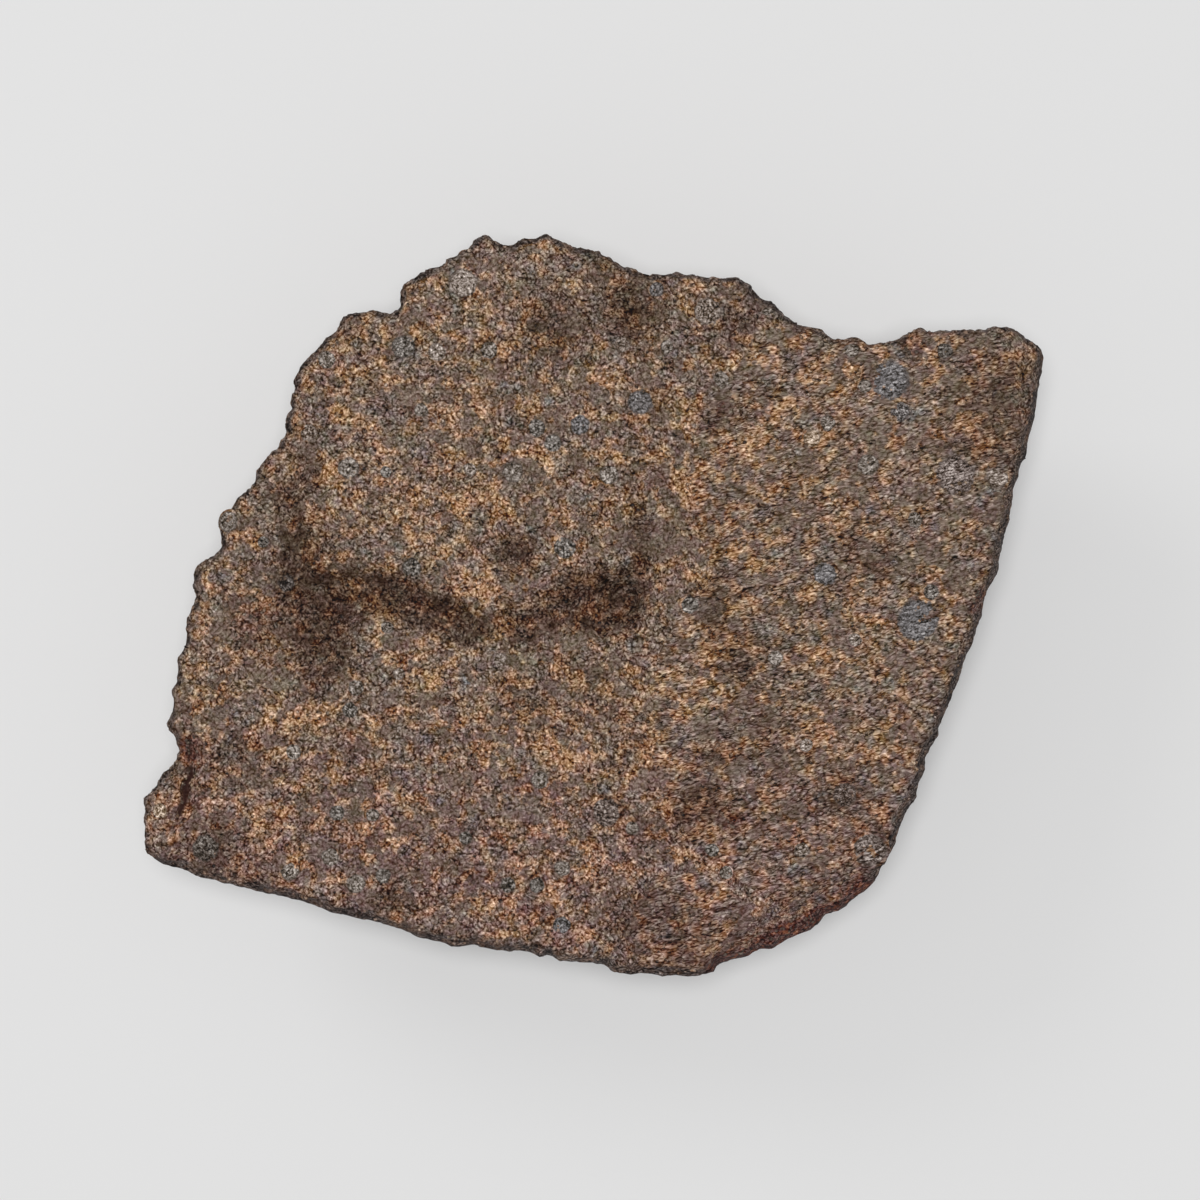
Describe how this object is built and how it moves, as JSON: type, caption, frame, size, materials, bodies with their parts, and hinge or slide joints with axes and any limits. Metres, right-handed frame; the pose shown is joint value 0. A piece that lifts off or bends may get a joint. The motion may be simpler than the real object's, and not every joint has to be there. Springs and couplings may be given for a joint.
{
  "type": "chondrite meteorite",
  "caption": "End cut of a weathered chondrite meteorite, lying on its natural back with the rough-sawn face up.",
  "frame": {"origin": "centre of the bounding box's bottom, on the level of the small flat spot that the stone rests on", "axes": "+X to the right along the sawn face's length, +Y up the sawn face as pictured, +Z out of the sawn face"},
  "size_m": [0.0452, 0.0372, 0.0134],
  "materials": {
    "stone": "matt, rough-sawn face speckled brown, ochre and blue-grey, with dark weathered crust round the sides"
  },
  "bodies": {
    "root": {"meteorite": "stone"}
  },
  "joints": []
}
